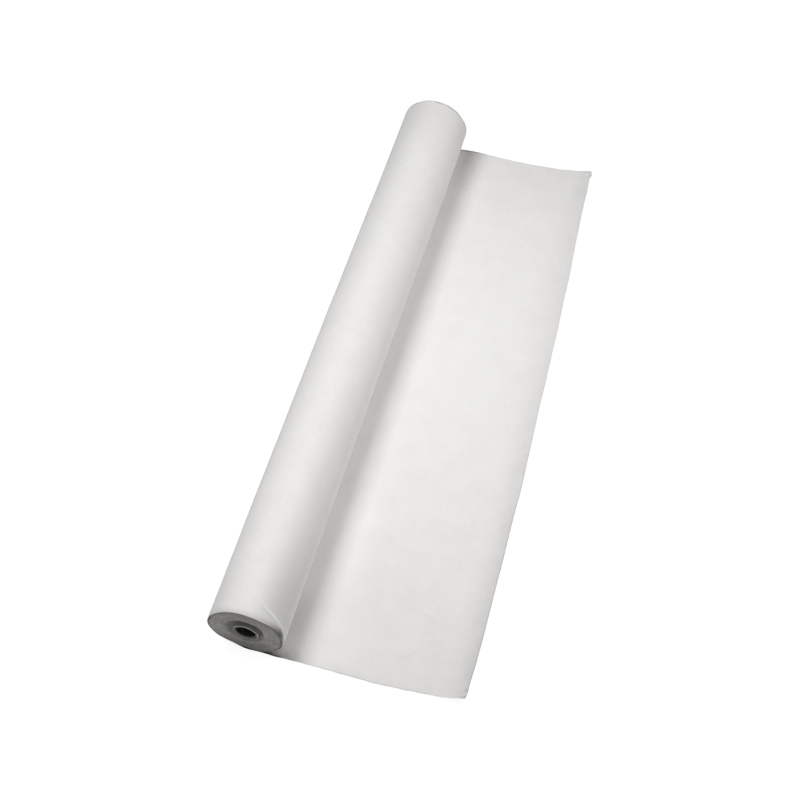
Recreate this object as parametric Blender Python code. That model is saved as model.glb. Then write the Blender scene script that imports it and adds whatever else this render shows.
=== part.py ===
"""A roll of white nonwoven geotextile lying on the ground, with its first stretch rolled out beside it.

The roll axis runs along Y, with the near end at -Y, and the loose end lies towards +X. The ground is
Z = 0, and the origin is the middle of the footprint. All lengths are in metres and all angles in degrees.
The cloth is one length. It is divided where the roll turns and travels: the winding on the core, the
outermost ply that leaves the roll along the ground, the stretch laid flat and the lifted free end.
"""

import math

import bmesh
import bpy
from mathutils import Vector
from mathutils.geometry import intersect_point_line

# The cloth
CLOTH_WIDTH = 1.0
CLOTH_THICKNESS = 0.0011
PLY_GAP = 0.00045
WOUND_TURNS = 23
POINTS_PER_TURN = 24
DISH_DEPTH = 0.001

# The core tube
CORE_BORE_DIAMETER = 0.029
CORE_WALL = 0.0015
CORE_SIDES = 48

# The strip of tape that starts the winding
TAPE_WIDTH = 0.009
TAPE_THICKNESS = 0.0006
TAPE_POINTS = 5

# The outermost ply, which leaves the roll along the ground
LIFT_OFF_ANGLE = 180
OUTER_POINTS = 96
LAP_GAP = 0.0005
TAIL_LENGTH = 0.030

# The stretch that is laid flat, measured from the line where the roll touches the ground
LAID_REACH = 0.235

# The free end, cut a little out of square, which lifts off the ground and most of all at its two corners
NEAR_END_LENGTH = 0.076
FAR_END_LENGTH = 0.042
EDGE_BOW = 0.008
MIDDLE_LIFT = 0.007
NEAR_CORNER_LIFT = 0.016
FAR_CORNER_LIFT = 0.011
CORNER_SHARPNESS = 6
END_STEPS = 8
WIDTH_STEPS = 28

# Clearances
SEAT_CLEARANCE = 0.0004
RUNNING_CLEARANCE = 0.0004
BUTT_GAP = 0.0003

# Derived sizes of the roll
CORE_RADIUS = CORE_BORE_DIAMETER / 2 + CORE_WALL
PITCH = CLOTH_THICKNESS + PLY_GAP
FIRST_PLY_RADIUS = CORE_RADIUS + SEAT_CLEARANCE
WOUND_RADIUS = FIRST_PLY_RADIUS + WOUND_TURNS * PITCH + CLOTH_THICKNESS
OUTER_PLY_RADIUS = WOUND_RADIUS + RUNNING_CLEARANCE
LAP_RISE = CLOTH_THICKNESS + LAP_GAP
AXIS_HEIGHT = OUTER_PLY_RADIUS + CLOTH_THICKNESS + LAP_RISE

SHADE_ANGLE = 35


def smooth_step(share):
    """Rises from 0 to 1 with level ends."""
    share = min(max(share, 0.0), 1.0)
    return share * share * (3 - 2 * share)


def on_roll(radius, angle):
    """A point in X and Z, at an angle that starts at the bottom of the roll and climbs its +X side."""
    turn = math.radians(angle)
    return (radius * math.sin(turn), -radius * math.cos(turn))


def wound_stations():
    """The winding's inner and outer outline and how far each station has slipped along the axis."""
    inner, outer, slip = [], [], []
    steps = WOUND_TURNS * POINTS_PER_TURN
    for step in range(steps + 1):
        angle = 360 * step / POINTS_PER_TURN
        radius = FIRST_PLY_RADIUS + PITCH * step / POINTS_PER_TURN
        inner.append(on_roll(radius, angle))
        outer.append(on_roll(radius + CLOTH_THICKNESS, angle))
        slip.append(DISH_DEPTH * (1 - step / steps))
    return inner, outer, slip


def outer_ply_stations():
    """The outermost ply: round the roll, out over its own start, then flat along the ground."""
    inner, outer = [], []
    for step in range(OUTER_POINTS + 1):
        angle = 360 * step / OUTER_POINTS
        rise = LAP_RISE * smooth_step((angle - LIFT_OFF_ANGLE) / (360 - LIFT_OFF_ANGLE))
        radius = OUTER_PLY_RADIUS + rise
        inner.append(on_roll(radius, angle))
        outer.append(on_roll(radius + CLOTH_THICKNESS, angle))
    inner.append((TAIL_LENGTH, inner[-1][1]))
    outer.append((TAIL_LENGTH, outer[-1][1]))
    return inner, outer


def tape_stations():
    """The strip of tape on the core, ahead of the cloth's first edge and under its second turn."""
    inner, outer = [], []
    first = -math.degrees(BUTT_GAP / FIRST_PLY_RADIUS)
    sweep = math.degrees(TAPE_WIDTH / FIRST_PLY_RADIUS)
    for step in range(TAPE_POINTS):
        angle = first - sweep * step / (TAPE_POINTS - 1)
        inner.append(on_roll(FIRST_PLY_RADIUS, angle))
        outer.append(on_roll(FIRST_PLY_RADIUS + TAPE_THICKNESS, angle))
    return inner, outer


def free_end_length(share):
    """The free end's length, from the near selvage at 0 to the far one at 1."""
    straight = NEAR_END_LENGTH + (FAR_END_LENGTH - NEAR_END_LENGTH) * share
    return straight + EDGE_BOW * (1 - (2 * share - 1) ** 2)


def free_edge_lift(share):
    """The free edge's height off the ground, highest at its two corners."""
    corner = NEAR_CORNER_LIFT if share < 1 / 2 else FAR_CORNER_LIFT
    return MIDDLE_LIFT + (corner - MIDDLE_LIFT) * abs(2 * share - 1) ** CORNER_SHARPNESS


def distance_to_face(point, face, station):
    """The least distance from a point to the runs of a face on either side of one of its stations."""
    least = math.inf
    for step in range(max(station - 2, 0), min(station + 2, len(face) - 1)):
        start, end = face[step], face[step + 1]
        share = intersect_point_line(point, start, end)[1]
        nearest = start.lerp(end, min(max(share, 0.0), 1.0))
        least = min(least, (point - nearest).length)
    return least


def least_ply_gap(inner, outer):
    """The least distance between the outer face of one turn and the inner face of the next."""
    inner = [Vector(point) for point in inner]
    outer = [Vector(point) for point in outer]
    least = math.inf
    for below in range(len(inner) - POINTS_PER_TURN):
        above = below + POINTS_PER_TURN
        least = min(least, distance_to_face(outer[below], inner, above))
        least = min(least, distance_to_face(inner[above], outer, below))
    return least


def clear_scene():
    for obj in list(bpy.data.objects):
        bpy.data.objects.remove(obj, do_unlink=True)


def make_material(name, colour, roughness):
    material = bpy.data.materials.new(name)
    material.use_nodes = True
    shader = material.node_tree.nodes["Principled BSDF"]
    shader.inputs["Base Color"].default_value = (*colour, 1.0)
    shader.inputs["Roughness"].default_value = roughness
    shader.inputs["Metallic"].default_value = 0.0
    material.diffuse_color = (*colour, 1.0)
    return material


def add_object(name, bm, material, parent):
    """Closes the mesh off with its faces pointing out, and hangs the object from its empty."""
    bmesh.ops.recalc_face_normals(bm, faces=bm.faces)
    mesh = bpy.data.meshes.new(name)
    bm.to_mesh(mesh)
    bm.free()
    mesh.shade_smooth()
    mesh.set_sharp_from_angle(angle=math.radians(SHADE_ANGLE))
    mesh.materials.append(material)
    obj = bpy.data.objects.new(name, mesh)
    bpy.context.scene.collection.objects.link(obj)
    obj.parent = parent
    return obj


def add_empty(name, location, parent=None):
    empty = bpy.data.objects.new(name, None)
    bpy.context.scene.collection.objects.link(empty)
    empty.location = location
    empty.parent = parent
    return empty


def ribbon(inner, outer, near, far, closed=False):
    """A wall through the stations, from its near edge to its far one. A closed one joins up with its start."""
    bm = bmesh.new()
    rings = []
    for (xi, zi), (xo, zo), y0, y1 in zip(inner, outer, near, far, strict=True):
        corners = ((xi, y0, zi), (xo, y0, zo), (xo, y1, zo), (xi, y1, zi))
        rings.append([bm.verts.new(corner) for corner in corners])
    followers = rings[1:] + rings[:1] if closed else rings[1:]
    for ring, after in zip(rings, followers):
        for side in range(4):
            follow = (side + 1) % 4
            bm.faces.new((ring[side], ring[follow], after[follow], after[side]))
    if not closed:
        bm.faces.new(rings[0][::-1])
        bm.faces.new(rings[-1])
    return bm


def add_core_tube(material, parent):
    """A straight tube with open ends, flush with the first plies."""
    angles = [360 * side / CORE_SIDES for side in range(CORE_SIDES)]
    bore = [on_roll(CORE_BORE_DIAMETER / 2, angle) for angle in angles]
    wall = [on_roll(CORE_RADIUS, angle) for angle in angles]
    near = [DISH_DEPTH] * CORE_SIDES
    far = [DISH_DEPTH + CLOTH_WIDTH] * CORE_SIDES
    return add_object("core_tube", ribbon(bore, wall, near, far, closed=True), material, parent)


def add_wound_cloth(material, parent):
    """The winding: one unbroken length, its plies slipped along the axis so that the near end is dished."""
    inner, outer, slip = wound_stations()
    far = [CLOTH_WIDTH + step for step in slip]
    print(f"least gap between the plies {1000 * least_ply_gap(inner, outer):.3f} mm")
    return add_object("wound_fabric", ribbon(inner, outer, slip, far), material, parent)


def add_start_tape(material, parent):
    inner, outer = tape_stations()
    near = [DISH_DEPTH] * len(inner)
    far = [DISH_DEPTH + CLOTH_WIDTH] * len(inner)
    return add_object("start_tape", ribbon(inner, outer, near, far), material, parent)


def add_outer_turn(material, parent):
    inner, outer = outer_ply_stations()
    near = [0.0] * len(inner)
    far = [CLOTH_WIDTH] * len(inner)
    return add_object("outer_turn", ribbon(inner, outer, near, far), material, parent)


def add_laid_sheet(material, parent):
    """The flat stretch between the roll and the free end."""
    start = TAIL_LENGTH + BUTT_GAP
    top = [(start, CLOTH_THICKNESS), (LAID_REACH, CLOTH_THICKNESS)]
    under = [(start, 0.0), (LAID_REACH, 0.0)]
    return add_object("laid_sheet", ribbon(top, under, [0.0] * 2, [CLOTH_WIDTH] * 2), material, parent)


def add_free_end(material, parent):
    """The last stretch, which curls up to a free edge cut a little out of square."""
    bm = bmesh.new()
    start = LAID_REACH + BUTT_GAP
    top, under = [], []
    for across in range(WIDTH_STEPS + 1):
        share = across / WIDTH_STEPS
        length, lift = free_end_length(share), free_edge_lift(share)
        rows = [], []
        for step in range(END_STEPS + 1):
            out = step / END_STEPS
            x, z = start + length * out, lift * out**2
            rows[0].append(bm.verts.new((x, CLOTH_WIDTH * share, z + CLOTH_THICKNESS)))
            rows[1].append(bm.verts.new((x, CLOTH_WIDTH * share, z)))
        top.append(rows[0])
        under.append(rows[1])
    for sheet in (top, under):
        for row, after in zip(sheet, sheet[1:]):
            for step in range(END_STEPS):
                bm.faces.new((row[step], row[step + 1], after[step + 1], after[step]))
    for upper, lower in ((top[0], under[0]), (top[-1], under[-1])):
        for step in range(END_STEPS):
            bm.faces.new((upper[step], upper[step + 1], lower[step + 1], lower[step]))
    for end in (0, END_STEPS):
        for across in range(WIDTH_STEPS):
            bm.faces.new((top[across][end], top[across + 1][end], under[across + 1][end], under[across][end]))
    return add_object("free_end", bm, material, parent)


def main():
    clear_scene()
    cloth = make_material("nonwoven_white", (0.76, 0.76, 0.73), 0.92)
    plastic = make_material("core_plastic", (0.035, 0.035, 0.033), 0.55)
    tape = make_material("paper_tape", (0.62, 0.52, 0.36), 0.7)

    _, outermost = outer_ply_stations()
    left = min(x for x, _ in outermost)
    longest = max(free_end_length(step / WIDTH_STEPS) for step in range(WIDTH_STEPS + 1))
    right = LAID_REACH + BUTT_GAP + longest
    roll_x = -(left + right) / 2
    near_y = -(CLOTH_WIDTH + DISH_DEPTH) / 2

    ground = add_empty("ground_line", (roll_x, near_y, 0.0))
    feed = add_empty("feed_line", (0.0, 0.0, AXIS_HEIGHT), ground)
    roll = add_empty("roll_axis", (0.0, 0.0, 0.0), feed)

    add_core_tube(plastic, roll)
    add_start_tape(tape, roll)
    add_wound_cloth(cloth, roll)
    add_outer_turn(cloth, feed)
    add_laid_sheet(cloth, ground)
    add_free_end(cloth, ground)
    bpy.context.view_layer.update()
    print(f"roll axis at x {roll_x:.5f}, z {AXIS_HEIGHT:.5f}, near end at y {near_y:.5f}")
    print(f"outer radius {OUTER_PLY_RADIUS + CLOTH_THICKNESS:.5f}, wound radius {WOUND_RADIUS:.5f}")


main()
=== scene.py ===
"""Looks of a roll of white nonwoven geotextile, lying with its first stretch rolled out beside it.

Everything is in metres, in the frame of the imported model: the roll's axis runs along Y, its near end is at
-Y, the loose end lies towards +X and the ground is Z = 0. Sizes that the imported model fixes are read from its
nodes. The outermost ply, the laid stretch and the free end are one unbroken sheet here, and the winding on
the core is one spiral ribbon.
"""

from __future__ import annotations

import logging
import math
from dataclasses import dataclass, field
from enum import Enum

import bpy
import numpy as np
from bpy.types import ID, Material, Mesh, Node, NodeSocket, NodeTree, Object
from mathutils import Matrix, Vector


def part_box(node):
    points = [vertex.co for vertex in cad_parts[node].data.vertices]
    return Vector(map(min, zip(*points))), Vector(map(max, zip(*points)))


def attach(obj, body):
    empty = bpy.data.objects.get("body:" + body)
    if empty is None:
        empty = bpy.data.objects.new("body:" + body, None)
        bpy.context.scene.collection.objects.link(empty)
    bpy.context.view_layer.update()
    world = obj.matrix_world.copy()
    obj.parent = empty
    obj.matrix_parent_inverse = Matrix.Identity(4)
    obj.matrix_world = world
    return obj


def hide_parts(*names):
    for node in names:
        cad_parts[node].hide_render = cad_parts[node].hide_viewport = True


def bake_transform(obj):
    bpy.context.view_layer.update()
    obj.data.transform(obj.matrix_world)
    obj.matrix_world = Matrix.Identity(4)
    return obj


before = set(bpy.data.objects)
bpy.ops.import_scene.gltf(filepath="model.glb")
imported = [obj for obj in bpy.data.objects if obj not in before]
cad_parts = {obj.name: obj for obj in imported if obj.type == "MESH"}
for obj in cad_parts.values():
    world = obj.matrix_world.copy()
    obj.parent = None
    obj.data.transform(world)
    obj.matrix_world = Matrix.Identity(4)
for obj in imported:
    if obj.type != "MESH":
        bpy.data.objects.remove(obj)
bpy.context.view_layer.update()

LOG = logging.getLogger("geotextile_roll")
WEB_MAP = "web"
RIM = "rim"
# Painted shade, with some dirt in it: the cloth's colour darkened where shade falls.
PAINTED_SHADE_AND_SOIL = "soil"
# Painted light: highlights and lighter patches painted into the cloth's colour.
PAINTED_LIGHT = "crest"
PLY_TURN = "ply_turn"
PLY_RUN = "ply_run"
WHITE = (1.0, 1.0, 1.0)
MIX_SHARE, MIX_FIRST, MIX_SECOND, MIX_RESULT = 0, 6, 7, 2

Colour = tuple[float, float, float]
Span = tuple[float, float]
Grid = np.ndarray


class Body(Enum):
    """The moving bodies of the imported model."""

    LAID = "laid"
    FEED = "feed"
    ROLL = "roll"


class Slot(Enum):
    """The record's material slots."""

    CLOTH = "cloth"
    WOUND_CLOTH = "wound_cloth"
    CORE = "core"
    TAPE = "tape"


class Held(Enum):
    """How a sheet of cloth is held."""

    LAID = "laid"
    FOLDED = "folded"


@dataclass(frozen=True)
class Bell:
    """A bell curve, which falls to about 0.37 of its height at its spread from the middle."""

    middle: float
    spread: float
    height: float = 1.0

    def __call__(self, value: Grid | float) -> Grid:
        """Reads the curve."""
        return self.height * np.exp(-(((value - self.middle) / self.spread) ** 2))


@dataclass(frozen=True)
class Step:
    """A smooth step from 0 at its start to its height at its end, which comes first where the step falls."""

    start: float
    end: float
    height: float = 1.0

    def __call__(self, value: Grid | float) -> Grid:
        """Reads the step."""
        share = np.clip((value - self.start) / (self.end - self.start), 0.0, 1.0)
        return self.height * share * share * (3.0 - 2.0 * share)


@dataclass(frozen=True)
class Window:
    """A smooth rise from 0 to 1 over one stretch, and a fall back to 0 over a later one."""

    rise_from: float
    rise_to: float
    fall_from: float
    fall_to: float

    def __call__(self, value: Grid | float) -> Grid:
        """Reads the window."""
        return Step(self.rise_from, self.rise_to)(value) * Step(self.fall_to, self.fall_from)(value)


@dataclass(frozen=True)
class Form:
    """A soft form or patch of a sheet: its full amount, and how it fades along the cloth and across it."""

    amount: float
    along: Bell | Step | Window
    across: Bell | Step | Window
    from_far: bool = False

    def __call__(self, along: Grid, across: Grid, from_far: Grid) -> Grid:
        """Reads the form, across from the near or the far selvage."""
        return self.amount * self.along(along) * self.across(from_far if self.from_far else across)


@dataclass(frozen=True)
class Pinch:
    """A small raised wrinkle. Its heading turns from straight along the cloth towards the far end."""

    reach: float
    across: float
    heading: float
    length: float
    width: float
    height: float

    def __call__(self, reach: Grid, across: Grid) -> Grid:
        """Reads the wrinkle.

        Args:
            reach: The distance along the cloth from the roll's contact line.
            across: The distance from the near selvage.

        Returns:
            The height.
        """
        turn = math.radians(self.heading)
        out, over = reach - self.reach, across - self.across
        lengthways = out * math.cos(turn) + over * math.sin(turn)
        sideways = over * math.cos(turn) - out * math.sin(turn)
        return self.height * Bell(0.0, self.length / 2)(lengthways) * Bell(0.0, self.width / 2)(sideways)


@dataclass(frozen=True)
class WaveField:
    """A smooth uneven surface, made of plane waves with fixed random directions, lengths and phases."""

    seed: int
    shortest: float
    longest: float
    stretch: float = 1.0
    waves: int = 18

    def __call__(self, along: Grid | float, across: Grid) -> Grid:
        """Reads the surface.

        Args:
            along: Distance along the cloth.
            across: Distance across the cloth, which the stretch makes change more slowly.

        Returns:
            The height, mostly from -1 to 1.
        """
        draw = np.random.default_rng(self.seed)
        total = np.zeros(np.broadcast(along, across).shape)
        for _ in range(self.waves):
            length = self.shortest * (self.longest / self.shortest) ** draw.random()
            heading, phase = draw.random(2) * 2 * math.pi
            travel = along * math.cos(heading) + across / self.stretch * math.sin(heading)
            total += np.sin(2 * math.pi * travel / length + phase)
        return total / math.sqrt(self.waves)


def rounded(share: Grid) -> Grid:
    """How far a quarter circle has fallen away, from 0 to 1, at a share of its way."""
    return 1 - np.sqrt(1 - np.clip(share, 0.0, 1.0) ** 2)


def unit(vectors: Grid) -> Grid:
    """The directions of vectors that lie along the last axis."""
    return vectors / np.linalg.norm(vectors, axis=-1, keepdims=True)


@dataclass(frozen=True)
class RollSizes:
    """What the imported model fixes, read from its nodes, and how much narrower the roll is at its far end."""

    axis_x: float
    axis_z: float
    near_y: float
    far_y: float
    outer_radius: float
    cloth_thickness: float
    laid_reach: float
    core_radius: float
    taper: float = 0.0017
    taper_span: Span = (0.42, 0.95)

    @classmethod
    def from_frame(cls) -> RollSizes:
        """Reads the sizes from the boxes of the nodes.

        Returns:
            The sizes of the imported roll.
        """
        core_low, core_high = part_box("core_tube")
        turn_low, turn_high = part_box("outer_turn")
        laid_low, laid_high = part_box("laid_sheet")
        axis_x = (core_low.x + core_high.x) / 2
        axis_z = (core_low.z + core_high.z) / 2
        return cls(
            axis_x=axis_x,
            axis_z=axis_z,
            near_y=turn_low.y,
            far_y=turn_high.y,
            outer_radius=turn_high.z - axis_z,
            cloth_thickness=laid_high.z - laid_low.z,
            laid_reach=laid_high.x - axis_x,
            core_radius=(core_high.z - core_low.z) / 2,
        )

    @property
    def width(self) -> float:
        """The cloth's width."""
        return self.far_y - self.near_y

    @property
    def ply_radius(self) -> float:
        """The radius of the outermost ply's middle."""
        return self.outer_radius - self.cloth_thickness / 2

    @property
    def lap_rise(self) -> float:
        """How far the outermost ply moves out over the lap, before it meets the ground."""
        return self.axis_z - self.outer_radius


@dataclass(frozen=True, eq=False)
class Wire:
    """One output of a node. Wires add and multiply, so that a tree's sums read as formulas."""

    build: TreeBuilder
    socket: NodeSocket

    def __add__(self, other: Wire | float) -> Wire:
        """The sum."""
        return self.build.maths("ADD", self, other)

    def __sub__(self, other: Wire | float) -> Wire:
        """The difference."""
        return self.build.maths("SUBTRACT", self, other)

    def __rsub__(self, other: float) -> Wire:
        """The difference from a number."""
        return self.build.maths("SUBTRACT", other, self)

    def __mul__(self, other: Wire | float) -> Wire:
        """The product."""
        return self.build.maths("MULTIPLY", self, other)

    def __truediv__(self, other: Wire | float) -> Wire:
        """The quotient."""
        return self.build.maths("DIVIDE", self, other)

    def __abs__(self) -> Wire:
        """The size without its sign."""
        return self.build.maths("ABSOLUTE", self)

    def over(self, other: Wire | float) -> Wire:
        """The greater of the two."""
        return self.build.maths("MAXIMUM", self, other)

    def ramp(self, low: object, high: object, to_low: float = 0.0, to_high: float = 1.0) -> Wire:
        """A smooth step from to_low, where this is low or less, to to_high, where it is high or more."""
        inputs = {"Value": self, "From Min": low, "From Max": high, "To Min": to_low, "To Max": to_high}
        return self.build.add("ShaderNodeMapRange", inputs, interpolation_type="SMOOTHSTEP")


@dataclass(frozen=True)
class TreeBuilder:
    """Adds nodes to a node tree and joins them, so that a tree reads as a list of steps."""

    tree: NodeTree

    def join(self, node: Node, values: dict[str | int, object]) -> None:
        """Fills inputs of a node.

        Args:
            node: The node.
            values: By input name or number, the wire to join there or the value to set.
        """
        for key, value in values.items():
            if isinstance(value, Wire):
                self.tree.links.new(value.socket, node.inputs[key])
            else:
                node.inputs[key].default_value = value

    def node(self, kind: str, inputs: dict | None = None, **settings: object) -> Node:
        """Adds one node.

        Args:
            kind: Blender's name for the node's type.
            inputs: By input name or number, the wire to join there or the value to set.
            settings: The node's own properties.

        Returns:
            The new node.
        """
        node = self.tree.nodes.new(kind)
        for name, value in settings.items():
            setattr(node, name, value)
        self.join(node, inputs or {})
        return node

    def add(self, kind: str, inputs: dict | None = None, output: str | int = 0, **settings: object) -> Wire:
        """Adds one node and takes one of its outputs, by name or number."""
        return Wire(self, self.node(kind, inputs, **settings).outputs[output])

    def given(self) -> dict[str, Wire]:
        """The inputs of a node group, by name."""
        return {plug.name: Wire(self, plug) for plug in self.node("NodeGroupInput").outputs if plug.name}

    def maths(self, operation: str, *values: object) -> Wire:
        """Adds a Math node on wires or numbers."""
        return self.add("ShaderNodeMath", dict(enumerate(values)), operation=operation)

    def vectors(self, operation: str, *values: object, output: str = "Vector") -> Wire:
        """Adds a Vector Math node on wires or vectors."""
        return self.add("ShaderNodeVectorMath", dict(enumerate(values)), output, operation=operation)

    def scaled(self, vector: Wire, scale: Wire) -> Wire:
        """A vector times a number."""
        return self.add("ShaderNodeVectorMath", {0: vector, "Scale": scale}, operation="SCALE")

    def axis(self, vector: Wire, number: int) -> Wire:
        """One of a vector's three parts."""
        return self.add("ShaderNodeSeparateXYZ", {0: vector}, number)

    def vector(self, x: object = 0.0, y: object = 0.0, z: object = 0.0) -> Wire:
        """A vector of three parts."""
        return self.add("ShaderNodeCombineXYZ", {0: x, 1: y, 2: z})

    def noise(self, place: Wire, scale: object, detail: float) -> Wire:
        """Adds a noise around 0.5."""
        return self.add("ShaderNodeTexNoise", {"Vector": place, "Scale": scale, "Detail": detail})

    def mix(self, share: object, first: Wire | Colour, second: Wire | Colour, blend: str = "MIX") -> Wire:
        """Mixes two colours.

        Args:
            share: How much of the second colour shows.
            first: The first colour.
            second: The second colour.
            blend: How they mix.

        Returns:
            The mixed colour.
        """
        first, second = (tone if isinstance(tone, Wire) else (*tone, 1.0) for tone in (first, second))
        inputs = {MIX_SHARE: share, MIX_FIRST: first, MIX_SECOND: second}
        return self.add("ShaderNodeMix", inputs, MIX_RESULT, data_type="RGBA", blend_type=blend)

    def bump(self, height: Wire, strength: float, distance: float) -> Wire:
        """Turns a height into a normal."""
        return self.add("ShaderNodeBump", {"Height": height, "Strength": strength, "Distance": distance})

    def seen(self) -> Wire:
        """Tells the rays that the camera sees, straight or by a mirror or glass, from the rest.

        Returns:
            1 for such a ray and 0 for another.
        """
        path = self.node("ShaderNodeLightPath").outputs
        names = (f"Is {kind} Ray" for kind in ("Camera", "Glossy", "Transmission"))
        direct, mirrored, through = (Wire(self, path[name]) for name in names)
        return direct.over(mirrored).over(through)


class SurfaceGroups:
    """The shader node groups that more than one finish uses."""

    def __init__(self) -> None:
        """Builds each group once."""
        self.fibre_web = self._fibre_web()
        self.soft_cloud = self._soft_cloud()

    @staticmethod
    def _new(name: str, inputs: dict[str, float], output: str) -> tuple[TreeBuilder, dict[str, Wire]]:
        """Makes an empty group that reads a place and some numbers, and gives one number.

        Args:
            name: The group's name.
            inputs: By name, the value that an input starts with.
            output: The name of the output.

        Returns:
            The group's builder, and its inputs by name.
        """
        group = bpy.data.node_groups.new(name, "ShaderNodeTree")
        group.interface.new_socket("Place", in_out="INPUT", socket_type="NodeSocketVector")
        for label, value in inputs.items():
            socket = group.interface.new_socket(label, in_out="INPUT", socket_type="NodeSocketFloat")
            socket.default_value = value
        group.interface.new_socket(output, in_out="OUTPUT", socket_type="NodeSocketFloat")
        build = TreeBuilder(group)
        return build, build.given()

    def _fibre_web(self) -> NodeTree:
        """Long fine fibres that cross each other in every direction, as in a nonwoven.

        Returns:
            The group. Fibre is 1 on a fibre and 0 between them.
        """
        headings, layer_gap, detail = (0.2, 1.15, 2.05, 2.8), 1.7, 1.5
        inputs = {"Fibres per Metre": 420.0, "Straightness": 5.0, "Fineness": 0.05}
        build, given = self._new("fibre_web", inputs, "Fibre")
        total = None
        for number, heading in enumerate(headings):
            layer = {"Rotation": (0, 0, heading), "Location": (0, 0, number * layer_gap)}
            turned = build.add("ShaderNodeMapping", {"Vector": given["Place"], **layer}, vector_type="POINT")
            along, across, level = (build.axis(turned, part) for part in range(3))
            drawn_out = build.vector(along / given["Straightness"], across, level)
            off_line = abs(build.noise(drawn_out, given["Fibres per Metre"], detail) - 0.5)
            strand = off_line.ramp(0.0, given["Fineness"], 1.0, 0.0)
            total = total.over(strand) if total else strand
        build.node("NodeGroupOutput", {"Fibre": total})
        return build.tree

    def _soft_cloud(self) -> NodeTree:
        """The uneven weight of a nonwoven: thick and thin patches that run into each other.

        Returns:
            The group. Cloud is from 0 in a thin patch to 1 in a thick one.
        """
        build, given = self._new("soft_cloud", {"Patches per Metre": 26.0, "Contrast": 1.6}, "Cloud")
        wide = build.noise(given["Place"], given["Patches per Metre"], detail=4.0)
        spread = (wide - 0.5) * given["Contrast"] + 0.5
        build.node("NodeGroupOutput", {"Cloud": build.add("ShaderNodeClamp", {0: spread})})
        return build.tree


@dataclass(frozen=True)
class WebFinish:
    """White nonwoven cloth: matte, cloudy, with fine crossing fibres and greyer cut edges."""

    name: str
    thick_colour: Colour
    thin_colour: Colour
    edge_colour: Colour
    dusty_edge_colour: Colour
    dusty_run: float = 0.0
    # The first colour below is painted shade, with some dirt; the next is painted light.
    soil_colour: Colour = (0.035, 0.032, 0.028)
    crest_colour: Colour = (0.98, 0.975, 0.965)
    fibre_shade: float = 0.05
    fibres_per_metre: float = 420.0
    fibre_height: float = 0.45
    patches_per_metre: float = 26.0
    cloud_contrast: float = 1.6
    bump_height: float = 0.00022
    bump_strength: float = 0.5
    roughness: float = 0.92
    sheen: float = 0.65
    sheen_roughness: float = 0.5
    specular: float = 0.25
    edge_noises: tuple[tuple[float, float], ...] = ((7.0, 0.55), (130.0, 0.45))
    edge_detail: float = 3.0
    dusty_from: Span = (0.42, 0.56)
    clean_run_share: float = 0.4

    def material(self, groups: SurfaceGroups) -> Material:
        """Makes the material, on the cloth's own map in metres and its rim, painted shade and painted light
        attributes.

        Args:
            groups: The shared node groups.

        Returns:
            The material.
        """
        made, build, shader = new_material(self.name)
        web = build.add("ShaderNodeUVMap", uv_map=WEB_MAP)
        fibres = {"Place": web, "Fibres per Metre": self.fibres_per_metre}
        fibre = build.add("ShaderNodeGroup", fibres, node_tree=groups.fibre_web)
        patches = {"Place": web, "Patches per Metre": self.patches_per_metre, "Contrast": self.cloud_contrast}
        cloud = build.add("ShaderNodeGroup", patches, node_tree=groups.soft_cloud)

        weight = build.mix(cloud, self.thin_colour, self.thick_colour)
        shade = fibre * self.fibre_shade + (1 - self.fibre_shade)
        grey = build.add("ShaderNodeCombineColor", {0: shade, 1: shade, 2: shade})
        colour = build.mix(1.0, weight, grey, "MULTIPLY")
        # Over the web's colour go the cut edges' colour, then painted shade with some dirt, then painted light.
        covers = {RIM: self._edge(build, web), PAINTED_SHADE_AND_SOIL: self.soil_colour, PAINTED_LIGHT: self.crest_colour}
        for name, over in covers.items():
            read = {"attribute_name": name, "attribute_type": "GEOMETRY"}
            colour = build.mix(build.add("ShaderNodeAttribute", output="Fac", **read), colour, over)
        build.join(shader, {
            "Base Color": colour,
            "Normal": build.bump(fibre * self.fibre_height + cloud, self.bump_strength, self.bump_height),
            "Roughness": self.roughness,
            "Sheen Weight": self.sheen,
            "Sheen Roughness": self.sheen_roughness,
            "Specular IOR Level": self.specular,
        })
        return made

    def _edge(self, build: TreeBuilder, web: Wire) -> Wire:
        """The colour of the cut edges, uneven along the cloth and dustiest at its first stretch.

        Args:
            build: The builder of the material's tree.
            web: The cloth's map.

        Returns:
            The colour.
        """
        run = build.axis(web, 0)
        (slow_scale, slow_share), (quick_scale, quick_share) = self.edge_noises
        slow = build.noise(build.vector(run), slow_scale, self.edge_detail)
        quick = build.noise(web, quick_scale, self.edge_detail)
        dusty = (quick * quick_share + slow * slow_share).ramp(*self.dusty_from)
        if self.dusty_run:
            dusty = dusty.over(run.ramp(self.clean_run_share * self.dusty_run, self.dusty_run, 1.0, 0.0))
        return build.mix(dusty, self.edge_colour, self.dusty_edge_colour)


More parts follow.
